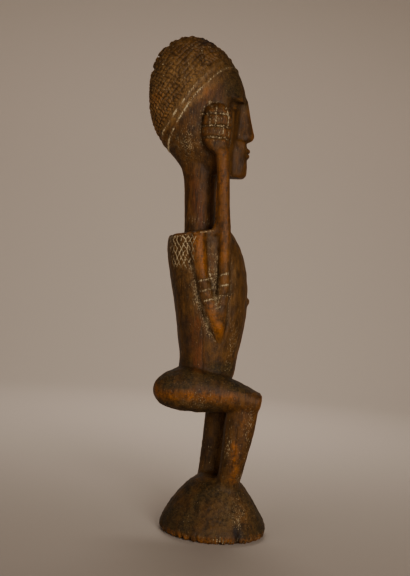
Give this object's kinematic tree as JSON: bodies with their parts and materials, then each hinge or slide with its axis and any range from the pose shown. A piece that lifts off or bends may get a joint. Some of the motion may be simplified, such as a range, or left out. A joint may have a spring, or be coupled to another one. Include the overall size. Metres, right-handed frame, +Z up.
{
  "type": "carved wooden figure",
  "caption": "Standing display carving of a figure with bent knees and hands over its ears, cut with its domed base from one piece of dark worn wood.",
  "frame": {"origin": "centre of the flat underside of the domed base", "axes": "+Z up along the figure, -Y the way the face looks, -X the figure's right hand"},
  "size_m": [0.0706, 0.1009, 0.33],
  "materials": {
    "dark_wood": "dark brown hand-polished wood, worn orange-brown on the high places, with pale grey dust in the grooves"
  },
  "bodies": {
    "root": {"carved_figure": "dark_wood"}
  },
  "joints": []
}
